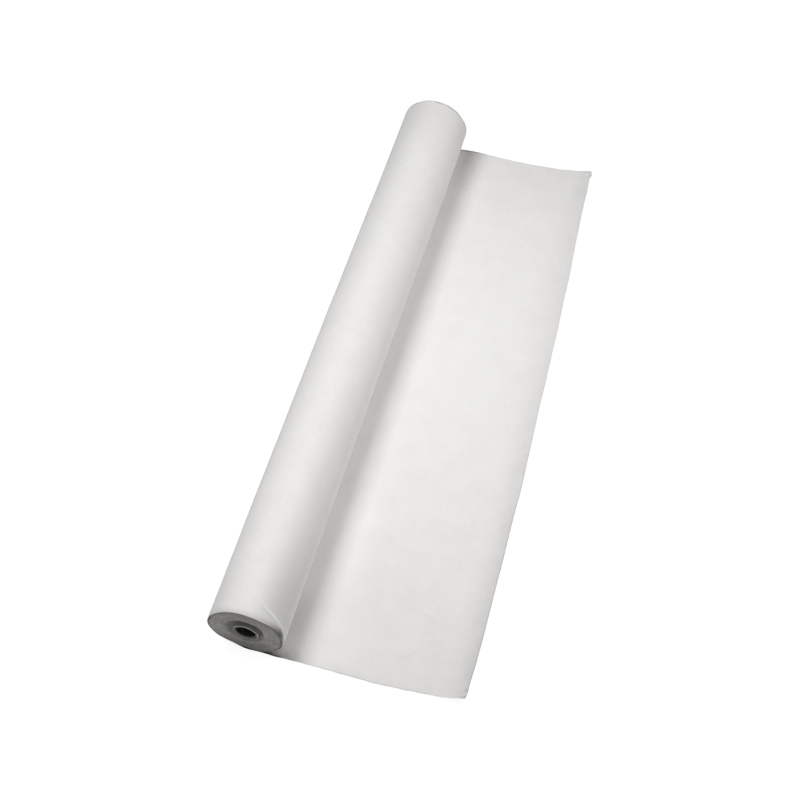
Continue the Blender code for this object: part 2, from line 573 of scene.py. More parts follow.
@dataclass(frozen=True)
class TubeFinish:
    """Dark extruded plastic, scuffed along its length, and paler where its ends were sawn off."""

    name: str
    wall_colour: Colour
    scuff_colour: Colour
    sawn_colour: Colour
    near_y: float
    far_y: float
    sawn_depth: float = 0.0004
    roughness: float = 0.5
    scuff_roughness: float = 0.2
    streaks_per_metre: Colour = (260.0, 9.0, 260.0)
    streak_detail: float = 5.0
    streak_span: Span = (0.5, 0.72)
    scuff_most: float = 0.7
    specks_per_metre: float = 900.0
    speck_detail: float = 3.0
    speck_span: Span = (0.2, 0.6)
    sawn_least: float = 0.7
    bump_strength: float = 0.3
    bump_height: float = 0.0001

    def material(self) -> Material:
        """Makes the material, on Object coordinates.

        Returns:
            The material.
        """
        made, build, shader = new_material(self.name)
        place = build.add("ShaderNodeTexCoord", output="Object")
        middle, half = (self.near_y + self.far_y) / 2, (self.far_y - self.near_y) / 2
        sawn = abs(build.axis(place, 1) - middle).ramp(half - self.sawn_depth, half)
        drawn = build.vectors("MULTIPLY", place, self.streaks_per_metre)
        streak = build.noise(drawn, 1.0, self.streak_detail)
        speck = build.noise(place, self.specks_per_metre, self.speck_detail)
        scuffed = streak.ramp(*self.streak_span, 0.0, self.scuff_most)
        wall = build.mix(scuffed, self.wall_colour, self.scuff_colour)
        bare = sawn * speck.ramp(*self.speck_span, self.sawn_least, 1.0)
        build.join(shader, {
            "Base Color": build.mix(bare, wall, self.sawn_colour),
            "Roughness": scuffed * self.scuff_roughness + self.roughness,
            "Normal": build.bump(streak + speck * sawn, self.bump_strength, self.bump_height),
        })
        return made


@dataclass(frozen=True)
class TapeFinish:
    """Crinkled brown paper tape."""

    name: str
    colour: Colour
    crease_colour: Colour
    roughness: float = 0.72
    crinkles_per_metre: Colour = (500.0, 2200.0, 500.0)
    crinkle_detail: float = 4.0
    bump_strength: float = 0.6
    bump_height: float = 0.0002

    def material(self) -> Material:
        """Makes the material, on Object coordinates.

        Returns:
            The material.
        """
        made, build, shader = new_material(self.name)
        place = build.add("ShaderNodeTexCoord", output="Object")
        crinkled = build.vectors("MULTIPLY", place, self.crinkles_per_metre)
        crepe = build.noise(crinkled, 1.0, self.crinkle_detail)
        build.join(shader, {
            "Base Color": build.mix(crepe, self.crease_colour, self.colour),
            "Normal": build.bump(crepe, self.bump_strength, self.bump_height),
            "Roughness": self.roughness,
        })
        return made


@dataclass(frozen=True)
class FloorFinish:
    """A pale floor that the camera sees as white, and that still takes the object's shadow."""

    name: str = "studio_floor"
    bounce_colour: Colour = (0.62, 0.62, 0.61)
    shadow_colour: Colour = (0.26, 0.26, 0.26)
    roughness: float = 0.9
    glow: float = 0.90
    white_span: Span = (1.3, 2.6)

    def material(self) -> Material:
        """Makes the material.

        Returns:
            The material.
        """
        made, build, shader = new_material(self.name)
        seen = build.seen()
        place = build.add("ShaderNodeTexCoord", output="Object")
        away = build.vectors("LENGTH", place, output="Value")
        build.join(shader, {
            "Base Color": build.mix(seen, self.bounce_colour, self.shadow_colour),
            "Roughness": self.roughness,
            "Specular IOR Level": 0.0,
            "Emission Color": (*WHITE, 1.0),
            "Emission Strength": seen * away.ramp(*self.white_span, self.glow, 1.0),
        })
        return made


def new_material(name: str) -> tuple[Material, TreeBuilder, Node]:
    """Makes a material with its Principled shader.

    Args:
        name: The material's name.

    Returns:
        The material, a builder for its tree and its shader node.
    """
    made = bpy.data.materials.new(name)
    made.use_nodes = True
    return made, TreeBuilder(made.node_tree), made.node_tree.nodes["Principled BSDF"]


def link_object(name: str, data: ID) -> Object:
    """Puts a mesh, a lamp or a camera into the scene as an object at the origin.

    Args:
        name: The object's name.
        data: What it shows.

    Returns:
        The object.
    """
    obj = bpy.data.objects.new(name, data)
    bpy.context.scene.collection.objects.link(obj)
    return obj


@dataclass
class LooseSheet:
    """The outermost ply, the laid stretch and the free end: one sheet, from the lap under the roll.

    Along is measured on the cloth from the lap, reach from the line where the roll touches the ground, across
    from the near selvage, and degrees round the roll from its bottom up its +X side.
    """

    sizes: RollSizes
    name: str = "loose_sheet"
    flat_length: float = 0.65
    roll_stations: int = 112
    flat_stations: int = 108
    steady_share: float = 0.62
    steady_reach: float = 0.205
    curl_stations: int = 20
    selvage_band: float = 0.030
    selvage_step: float = 0.0010
    pinched_band: float = 0.130
    pinched_step: float = 0.0042
    middle_step: float = 0.0085
    rim_bulge: float = 0.9
    blend_reach: float = 1.1

    edge_reach_ends: Span = (0.3106, 0.2757)
    edge_bow: float = 0.0084
    edge_waves: WaveField = WaveField(41, 0.05, 0.3)
    edge_wave_depth: float = 0.0007
    edge_hollows: tuple[Bell, ...] = (
        Bell(0.68, 0.16, -0.0011),
        Bell(0.022, 0.020, -0.0013),
        Bell(0.092, 0.042, 0.0015),
    )
    worn_length: float = 0.011
    worn_depth: float = 0.0042
    ear: Step = Step(0.022, 0.0132, 0.0030)
    ear_from: float = 0.012
    ear_radius: float = 0.014

    edge_curl: float = 24.0
    edge_curl_radius: float = 0.0060
    curl_waves: WaveField = WaveField(53, 0.016, 0.06)
    curl_swing: float = 5.0
    near_curl_swing: Bell = Bell(0.045, 0.05, 12.0)
    near_corner_curl: float = 115.0
    near_corner: Step = Step(0.012, 0.0036)
    far_corner_curl: float = 195.0
    far_corner: Step = Step(0.022, 0.0121)
    corner_curl_radius: float = 0.0018
    tip_tightening: Step = Step(0.006, 0.0, 0.6)
    curl_widening: float = 0.10

    lifted_lengths: Span = (0.041, 0.060)
    corner_extra_length: float = 0.018
    near_lift_band: Step = Step(0.060, 0.008)
    far_lift_band: Step = Step(0.090, 0.018)
    near_corner_lift: float = 0.0150
    middle_lift: float = 0.0198
    far_corner_lift: float = 0.0120
    far_tip_droop: Step = Step(0.007, 0.0, 0.0022)
    lift_power: float = 2.0
    corner_lift_power: float = 0.4
    lift_limit: float = 1.2
    hollow_waves: WaveField = WaveField(61, 0.11, 0.5, stretch=1.6)
    hollow_depth: float = 0.0016
    hollow_level: float = 0.42
    hollow_limit: float = 2.0
    hollow_reach: Step = Step(0.055, 0.12)
    selvage_lifts: tuple[Form, ...] = (
        Form(0.0011, Window(0.02, 0.07, 0.1, 0.2), Bell(0.0, 0.02)),
        Form(0.0052, Window(0.010, 0.045, 0.062, 0.158), Bell(0.0, 0.045), from_far=True),
    )
    pucker_waves: WaveField = WaveField(67, 0.007, 0.015)
    corner_pucker: Bell = Bell(0.0, 0.016, 0.0024)
    pinches: tuple[Pinch, ...] = (
        Pinch(0.226, 0.116, -28.0, 0.022, 0.0075, 0.0013),
        Pinch(0.216, 0.056, 36.0, 0.030, 0.0080, 0.0015),
        Pinch(0.243, 0.079, 24.0, 0.026, 0.0080, 0.0018),
        Pinch(0.150, 0.182, 60.0, 0.016, 0.0080, 0.0012),
    )

    selvage_shifts: tuple[Form, ...] = (
        Form(-0.0026, Window(0.085, 0.17, 0.19, 0.262), Bell(0.0, 0.16)),
        Form(-0.0006, Step(0.262, 0.308), Bell(0.0, 0.16)),
        Form(-0.0014, Window(0.14, 0.18, 0.205, 0.235), Bell(0.0, 0.12), from_far=True),
    )
    far_round: Bell = Bell(0.0, 0.012, -0.0060)
    far_round_from: float = 0.013
    far_round_radius: float = 0.014
    slack: Bell = Bell(328.0, 42.0, 0.0030)
    slack_reach: Bell = Bell(0.0, 0.038)
    slack_across: Bell = Bell(0.0, 0.05)
    wander_waves: WaveField = WaveField(31, 0.02, 0.12)
    wander: Bell = Bell(0.0, 0.012, 0.00035)
    wander_apart: float = 3.1

    lap_angles: Step = Step(180.0, 360.0)
    taper_angles: Window = Window(8.0, 60.0, 300.0, 352.0)
    clear_angles: Window = Window(12.0, 50.0, 312.0, 350.0)
    play: float = 0.0003
    relief_depth: float = 0.00028
    relief_level: float = 0.1
    relief_waves: tuple[tuple[float, WaveField], ...] = (
        (0.65, WaveField(11, 0.09, 0.45, stretch=2.2)),
        (0.30, WaveField(23, 0.035, 0.11, stretch=1.4)),
    )
    bulges: tuple[Form, ...] = (
        Form(0.0028, Bell(121.0, 20.0), Bell(0.0, 0.012)),
        Form(0.0036, Bell(77.0, 33.0), Step(0.36, 0.86)),
        Form(0.0009, Bell(150.0, 34.0), Bell(0.0, 0.012), from_far=True),
        Form(-0.0004, Bell(77.0, 33.0), Bell(0.0, 0.050), from_far=True),
    )
    crease_angles: tuple[float, ...] = (88.0, 104.6, 121.4, 137.7, 153.1, 165.4, 179.7, 205.0)
    crease_places: tuple[float, ...] = (0.0012, 0.0052, 0.0114, 0.0166, 0.0219, 0.0261, 0.0371, 0.0600)
    crease: Bell = Bell(132.0, 44.0, 0.0008)
    crease_inner: float = 0.0050
    crease_outer: float = 0.0030
    tucks: tuple[Bell, ...] = (Bell(104.0, 27.0, 0.0024), Bell(180.0, 55.0, 0.0011))
    tuck_band: Span = (0.0045, 0.0085)

    # A painted highlight along the ridge of the crease near the roll's near end.
    crest_line: Window = Window(-0.0020, -0.0006, 0.0007, 0.0021)
    crest_angles: Window = Window(90.0, 98.0, 138.0, 166.0)
    crest_share: float = 0.48
    teased: Step = Step(0.030, 0.060)
    teased_thin: Step = Step(0.0022, 0.0, 0.7)
    # Painted light: lighter patches on the laid cloth, which lift the shade beside the roll.
    painted_light_patches: tuple[Form, ...] = (
        Form(0.35, Bell(0.085, 0.022), Bell(0.22, 0.09)),
        Form(0.24, Bell(0.170, 0.085), Bell(0.60, 0.24)),
    )
    # Painted shade: beside and under the roll, on its flanks, by the small wrinkles and along the selvages.
    painted_shade: tuple[Form, ...] = (
        Form(0.100, Bell(-0.213, 0.030), Bell(0.0, 0.09)),
        Form(0.100, Bell(-0.213, 0.028), Bell(0.0, 0.30)),
        Form(0.110, Bell(-0.126, 0.024), Bell(0.0, 0.06)),
        Form(0.050, Bell(-0.160, 0.120), Bell(1.0, 0.08)),
        Form(0.250, Bell(0.069, 0.025), Bell(1.0, 0.062)),
        Form(0.090, Bell(0.066, 0.024), Bell(1.0, 0.20)),
        Form(0.220, Bell(0.049, 0.020), Bell(0.056, 0.045)),
        Form(0.170, Bell(0.024, 0.008), Bell(0.12, 0.22)),
        Form(0.090, Bell(-0.246, 0.026), Bell(0.020, 0.130)),
        Form(0.042, Bell(0.260, 0.140), Bell(0.0, 0.30)),
        Form(0.055, Bell(0.200, 0.110), Bell(1.0, 0.08)),
        Form(0.055, Bell(-0.211, 0.019), Bell(0.20, 0.50)),
        Form(0.045, Bell(0.150, 0.085), Bell(0.003, 0.007)),
        Form(0.035, Bell(0.285, 0.040), Bell(0.0, 0.075)),
        Form(0.022, Bell(0.160, 0.070), Bell(0.110, 0.080)),
        Form(0.040, Bell(0.239, 0.012), Bell(0.087, 0.006)),
        Form(0.030, Bell(0.234, 0.006), Bell(0.110, 0.006)),
        Form(0.030, Bell(0.212, 0.010), Bell(0.048, 0.006)),
        Form(0.950, Window(-0.085, -0.030, 0.020, 0.060), Bell(0.0, 0.0016)),
        Form(0.675, Window(0.0, 0.02, 0.025, 0.110), Bell(0.0, 0.0030), from_far=True),
    )
    # Painted shade along the near selvage where the lap begins under the roll.
    lap_soil: Form = Form(0.76, Step(0.052, 0.015), Bell(0.0, 0.0016))
    # Painted shade under the roll's near end, along the near selvage; the waves make it uneven.
    pressed_soil: Form = Form(0.72, Window(-0.020, -0.004, 0.020, 0.088), Bell(0.0, 0.0135))
    pressed_waves: WaveField = WaveField(79, 0.006, 0.03)
    pressed_swing: float = 0.15
    worn_soil: Form = Form(0.54, Window(-0.30, -0.24, -0.09, -0.05), Bell(0.0, 0.0026), from_far=True)
    worn_waves: WaveField = WaveField(71, 0.012, 0.09)
    worn_least: float = 0.2
    # Painted shade on the cloth that is folded in at the crease, near the roll's near end.
    folded_soil: Bell = Bell(107.0, 20.0, 0.52)
    folded_band: Span = (0.004, 0.009)
    folded_fade: Step = Step(1.0, 0.25)
    # Painted shade along the near selvage, over the top of the roll.
    top_soil: Form = Form(0.16, Window(84.0, 110.0, 250.0, 285.0), Step(0.0095, 0.0))
    # Painted shade along the free edge, where it curls up, stronger towards the near selvage.
    free_edge_shade: tuple[Bell, ...] = (Bell(0.0, 0.019, 0.13), Bell(0.0, 0.0016, 0.16))
    free_edge_shade_across: Step = Step(0.62, 0.18, 0.70)
    free_edge_shade_waves: WaveField = WaveField(83, 0.02, 0.09)
    free_edge_shade_swing: float = 0.1

    across: Grid = field(init=False)
    from_far: Grid = field(init=False)

    def __post_init__(self) -> None:
        """Spaces the stations across the cloth, closer at the selvages and where the small wrinkles are."""
        width, band = self.sizes.width, self.selvage_band
        fine = np.arange(0.0, band, self.selvage_step)
        pinched = np.arange(band, self.pinched_band, self.pinched_step)
        plain = width - band - self.pinched_band
        middle = np.linspace(self.pinched_band, width - band, round(plain / self.middle_step) + 1)
        self.across = np.concatenate([fine, pinched, middle, width - fine[::-1]])
        self.from_far = width - self.across

    def total(self, along: Grid, *forms: Form) -> Grid:
        """The sum of some forms, at distances or angles along the cloth and at each station across it."""
        return sum(form(along, self.across, self.from_far) for form in forms)

    def crease_offset(self, degrees: Grid) -> Grid:
        """How far from the near selvage the crease runs, at each angle round the roll."""
        return np.interp(degrees, self.crease_angles, self.crease_places)

    def roll_relief(self, degrees: Grid, along: Grid) -> Grid:
        """How far the outermost ply stands off its true radius, kept out of the winding under it.

        Args:
            degrees: The angle round the roll.
            along: The distance along the cloth.

        Returns:
            The stand-off.
        """
        uneven = sum(share * waves(along, self.across) for share, waves in self.relief_waves)
        off_crease = self.across - self.crease_offset(degrees)
        side = np.where(off_crease > 0, self.crease_inner, self.crease_outer)
        relief = self.relief_depth * (self.relief_level + uneven)
        relief = relief + self.crease(degrees) * Bell(0.0, side)(off_crease) - self.tuck(degrees)
        relief = relief + self.total(degrees, *self.bulges)
        deepest = Step(self.tuck_band[1], 0.0, sum(tuck.height for tuck in self.tucks))
        return np.maximum(relief, -self.play - deepest(self.across)) * self.clear_angles(degrees)

    def tuck(self, degrees: Grid) -> Grid:
        """How far the cloth's end is folded in towards the roll, from the crease to the near selvage."""
        share = 1.0 - self.across / np.clip(self.crease_offset(degrees), *self.tuck_band)
        return sum(tuck(degrees) for tuck in self.tucks) * np.clip(share, 0.0, 1.0) ** 2

    def selvage_wander(self, along: Grid) -> Grid:
        """A small unevenness of the two selvages, which fades out into the cloth."""
        uneven = self.wander_waves(along, np.round(self.across / self.sizes.width) * self.wander_apart)
        return uneven * (self.wander(self.across) + self.wander(self.from_far))

    def roll_part(self) -> tuple[Grid, Grid]:
        """The ply round the roll.

        Returns:
            The points, and each point's distance along the cloth.
        """
        sizes = self.sizes
        degrees = np.linspace(0.0, 360.0, self.roll_stations)[:, None]
        turn = np.radians(degrees)
        plain = sizes.ply_radius + sizes.lap_rise * self.lap_angles(degrees)
        steps = (plain[1:] + plain[:-1]) / 2 * np.diff(turn, axis=0)
        along = np.concatenate([[[0.0]], np.cumsum(steps, axis=0)])
        taper = sizes.taper * Step(*sizes.taper_span)(self.across / sizes.width) * self.taper_angles(degrees)
        radius = plain - taper + self.roll_relief(degrees, along)
        slack = (self.slack(degrees) + self.slack(degrees + 360.0)) * self.slack_across(self.across)
        points = np.stack([
            sizes.axis_x + radius * np.sin(turn),
            sizes.near_y + self.across + self.selvage_wander(along) + slack,
            sizes.axis_z - radius * np.cos(turn),
        ], -1)
        return points, np.broadcast_to(along, radius.shape)

    def edge_reach(self) -> Grid:
        """How far the free edge lies from the roll's contact line, across the cloth.

        Returns:
            The reach at each station.
        """
        width = self.sizes.width
        straight = np.interp(self.across, (0.0, width), self.edge_reach_ends)
        bow = self.edge_bow * (1 - (2 * self.across / width - 1) ** 2)
        uneven = self.edge_wave_depth * self.edge_waves(self.across, 0.0 * self.across)
        ear = self.ear(self.from_far) * (1 - rounded((self.ear_from - self.from_far) / self.ear_radius))
        worn = self.worn_depth * rounded(1 - self.across / self.worn_length)
        return straight + bow + uneven + ear + sum(hollow(self.across) for hollow in self.edge_hollows) - worn

    def curl(self) -> tuple[Grid, Grid]:
        """How the free edge rolls up.

        Returns:
            The angle in radians that it turns through, and its radius, across the cloth.
        """
        near, far = self.near_corner(self.across), self.far_corner(self.from_far)
        swing = self.curl_swing + self.near_curl_swing(self.across)
        angle = self.edge_curl + swing * self.curl_waves(self.across, 0.0 * self.across)
        angle = angle * (1 - near) + self.near_corner_curl * near
        angle = angle * (1 - far) + self.far_corner_curl * far
        corner = np.maximum(near, far)
        radius = self.edge_curl_radius * (1 - corner) + self.corner_curl_radius * corner
        return np.radians(angle), radius * (1 - self.tip_tightening(np.minimum(self.across, self.from_far)))

    def ground_height(self, reach: Grid, edge: Grid) -> Grid:
        """The height of the sheet's middle over its resting height.

        Args:
            reach: The distance from the contact line.
            edge: The reach of the free edge, across the cloth.

        Returns:
            The height, never negative.
        """
        across, from_far = self.across, self.from_far
        near, far = self.near_lift_band(across), self.far_lift_band(from_far)
        length = np.interp(across, (0.0, self.sizes.width), self.lifted_lengths)
        length = length + self.corner_extra_length * near
        out = np.clip((reach - (edge - length)) / length, 0.0, self.lift_limit)
        lift = self.middle_lift + (self.near_corner_lift - self.middle_lift) * near
        lift = lift + (self.far_corner_lift - self.middle_lift) * far - self.far_tip_droop(from_far)
        height = lift * out ** (self.lift_power + self.corner_lift_power * near)
        hollow = np.clip(self.hollow_level + self.hollow_waves(reach, across) / 2, 0.0, self.hollow_limit)
        height = height + self.hollow_depth * hollow * self.hollow_reach(reach)
        height = height + self.total(reach, *self.selvage_lifts)
        puckers = np.maximum((1 + self.pucker_waves(reach, across)) / 2, 0.0)
        height = height + puckers * self.corner_pucker(np.hypot(edge - reach, across))
        return height + sum(pinch(reach, across) for pinch in self.pinches)

    def ground_part(self, start_along: float) -> tuple[Grid, Grid]:
        """The sheet from the contact line to the free edge, with the edge rolled up.

        Args:
            start_along: The distance along the cloth at the contact line.

        Returns:
            The points, and each point's distance along the cloth.
        """
        sizes, tiny, edge = self.sizes, 1e-4, self.edge_reach()
        turn, radius = self.curl()
        tilt = np.arctan((self.ground_height(edge, edge) - self.ground_height(edge - tiny, edge)) / tiny)
        curl_start = edge - radius * (np.sin(np.minimum(tilt + turn, math.pi / 2)) - np.sin(tilt))

        steady = np.linspace(0.0, self.steady_reach, round(self.flat_stations * self.steady_share))[1:, None]
        share = np.linspace(0.0, 1.0, self.flat_stations - len(steady) + 1)[1:, None]
        flat = np.concatenate([
            np.broadcast_to(steady, (len(steady), len(edge))),
            self.steady_reach + (curl_start - self.steady_reach) * share,
        ])
        height = self.ground_height(flat, edge)
        wound = np.linspace(0.0, 1.0, self.curl_stations + 1)[1:, None] * turn
        tightened = radius / (1 + self.curl_widening * wound / math.pi)
        reach = np.concatenate([flat, curl_start + tightened * (np.sin(tilt + wound) - np.sin(tilt))])
        height = np.concatenate([height, height[-1] + tightened * (np.cos(tilt) - np.cos(tilt + wound))])
        along = start_along + np.concatenate([flat, curl_start + radius * wound])
        points = np.stack([
            sizes.axis_x + reach,
            sizes.near_y + self.across + self.sideways(reach, edge) + self.selvage_wander(along),
            sizes.cloth_thickness / 2 + height,
        ], -1)
        return points, along

    def sideways(self, reach: Grid, edge: Grid) -> Grid:
        """How far the cloth lies off its straight place across, where it bows, draws in and is round.

        Args:
            reach: The distance from the contact line.
            edge: The reach of the free edge, across the cloth.

        Returns:
            The shift towards the far end.
        """
        corner = rounded((reach - (edge - self.far_round_from)) / self.far_round_radius)
        slack = self.slack(360.0) * self.slack_reach(reach) * self.slack_across(self.across)
        return self.total(reach, *self.selvage_shifts) + corner * self.far_round(self.from_far) + slack

    def build(self) -> Object:
        """Makes the sheet's mesh, with its map, the attributes of its looks and rounded edges.

        Returns:
            The sheet.
        """
        roll_points, roll_along = self.roll_part()
        ground_points, ground_along = self.ground_part(float(roll_along[-1, 0]))
        middle = np.concatenate([roll_points, ground_points])
        along = np.concatenate([roll_along, ground_along])
        across = np.broadcast_to(self.across, along.shape)
        down_path, cross_path = np.gradient(middle, axis=0), np.gradient(middle, axis=1)
        half = self.sizes.cloth_thickness / 2
        offset = unit(np.cross(cross_path, down_path)) * (half * self._fullness(along))[..., None]

        rows, columns = along.shape
        count = rows * columns
        index = np.arange(count).reshape(rows, columns)
        ring = np.concatenate([index[:, 0], index[-1, 1:], index[-2::-1, -1], index[0, -2:0:-1]])
        outward = self._outward(down_path, cross_path).reshape(-1, 3)[ring]
        rim_points = middle.reshape(-1, 3)[ring] + outward * half * self.rim_bulge
        sides = (middle - offset).reshape(-1, 3), (middle + offset).reshape(-1, 3)
        rim_index = 2 * count + np.arange(len(ring))
        after, rim_after = np.roll(ring, -1), np.roll(rim_index, -1)
        quads = np.stack([index[:-1, :-1], index[:-1, 1:], index[1:, 1:], index[1:, :-1]], -1).reshape(-1, 4)
        faces = np.concatenate([
            quads,
            quads[:, (0, 3, 2, 1)] + count,
            np.stack([ring, after, rim_after, rim_index], -1),
            np.stack([rim_index, rim_after, after + count, ring + count], -1),
        ])
        mesh = bpy.data.meshes.new(self.name)
        mesh.from_pydata(np.concatenate([*sides, rim_points]).tolist(), [], faces.tolist())
        mesh.validate()

        web = np.stack([along, across], -1).reshape(-1, 2)
        # Painted shade with some dirt, and painted light, stored at the points.
        soil, crest, white, pale = (values.reshape(-1) for values in self._looks(along))
        looks = {
            RIM: np.concatenate([np.zeros(2 * count), np.ones(len(ring))]),
            PAINTED_SHADE_AND_SOIL: np.concatenate([soil, soil, soil[ring]]),
            PAINTED_LIGHT: np.concatenate([white, crest, np.maximum(crest, pale)[ring]]),
        }
        self._store(mesh, np.concatenate([web, web, web[ring]]), looks)
        mesh.shade_smooth()
        return link_object(self.name, mesh)

    @staticmethod
    def _outward(down_path: Grid, cross_path: Grid) -> Grid:
        """The direction out of the sheet at its four edges.

        Args:
            down_path: The surface's direction along the cloth.
            cross_path: Its direction across.

        Returns:
            A unit vector at each point, of use only at the edges.
        """
        out = np.zeros_like(down_path)
        out[:, 0] -= unit(cross_path[:, 0])
        out[:, -1] += unit(cross_path[:, -1])
        out[0] -= unit(down_path[0])
        out[-1] += unit(down_path[-1])
        return out / np.maximum(np.linalg.norm(out, axis=-1, keepdims=True), 1.0)

    def _reach(self, along: Grid) -> Grid:
        """The distance from the roll's contact line, negative round the roll."""
        return along - 2 * math.pi * self.sizes.ply_radius

    def _fullness(self, along: Grid) -> Grid:
        """The share of its thickness that the cloth keeps: the laid near selvage is teased out thin."""
        return 1.0 - self.teased(self._reach(along)) * self.teased_thin(self.across)

    def _looks(self, along: Grid) -> tuple[Grid, Grid, Grid, Grid]:
        """The painted shade on the cloth, which is also dirt in places, and its painted light.

        Args:
            along: The distance along the cloth at each point.

        Returns:
            From 0 to 1 at each point: the painted shade, also dirt in places; the painted highlight on the
                crease
            near the roll's end; painted light in patches on the laid side, and on the near selvage's cut edge.
        """
        across, reach = self.across, self._reach(along)
        degrees = np.degrees(along / self.sizes.ply_radius)
        offset = self.crease_offset(degrees)
        # A painted highlight along the ridge of the crease.
        crest = self.crest_share * self.crest_line(across - offset) * self.crest_angles(degrees)
        # Painted light on the near selvage's cut edge, which lies in shade.
        pale = self.teased(reach) * (across < self.selvage_step / 2)
        # Painted light in patches on the laid cloth.
        white = self.total(reach, *self.painted_light_patches)

        # Painted shade, with some dirt: the darkened patches and lines add up.
        pressed = 1 - self.pressed_swing + self.pressed_swing * self.pressed_waves(along, across)
        worn = np.clip((1 + self.worn_waves(along, across)) / 2, self.worn_least, 1.0)
        soil = self.total(along, self.lap_soil) + self.total(reach, *self.painted_shade)
        soil = soil + pressed * self.total(reach, self.pressed_soil)
        soil = soil + worn * self.total(reach, self.worn_soil)
        folded = self.folded_fade(across / np.clip(offset, *self.folded_band))
        soil = soil + self.folded_soil(degrees) * folded + self.total(degrees, self.top_soil)
        near = 1 - self.free_edge_shade_across.height + self.free_edge_shade_across(across / self.sizes.width)
        from_edge = along[-1:, :] - along
        uneven = 1 - self.free_edge_shade_swing + 2 * self.free_edge_shade_swing * self.free_edge_shade_waves(along, across)
        wide, rim = (painted_shade(from_edge) for painted_shade in self.free_edge_shade)
        return np.clip(soil + near * (uneven * wide + rim), 0.0, 1.0), crest, white, pale

    @staticmethod
    def _store(mesh: Mesh, web: Grid, looks: dict[str, Grid]) -> None:
        """Stores the map in metres and the attributes that the finish reads.

        Args:
            mesh: The sheet's mesh.
            web: The distance along and across the cloth at each point.
            looks: By attribute name, a value from 0 to 1 at each point.
        """
        corners = np.empty(len(mesh.loops), np.int32)
        mesh.loops.foreach_get("vertex_index", corners)
        layer = mesh.uv_layers.new(name=WEB_MAP)
        layer.data.foreach_set("uv", web[corners].astype(np.float32).ravel())
        for name, values in looks.items():
            mesh.attributes.new(name, "FLOAT", "POINT").data.foreach_set("value", values.astype(np.float32))

    def dress(self, sheet: Object, material: Material) -> None:
        """Gives the sheet its finish and its place in the frame.

        Args:
            sheet: The sheet.
            material: Its finish.
        """
        sheet.data.materials.append(material)
        roll_x, reach = self.sizes.axis_x, self.sizes.laid_reach
        roll_x + self.sizes.outer_radius * self.blend_reach
        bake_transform(sheet)
        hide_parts("outer_turn", "laid_sheet", "free_end")


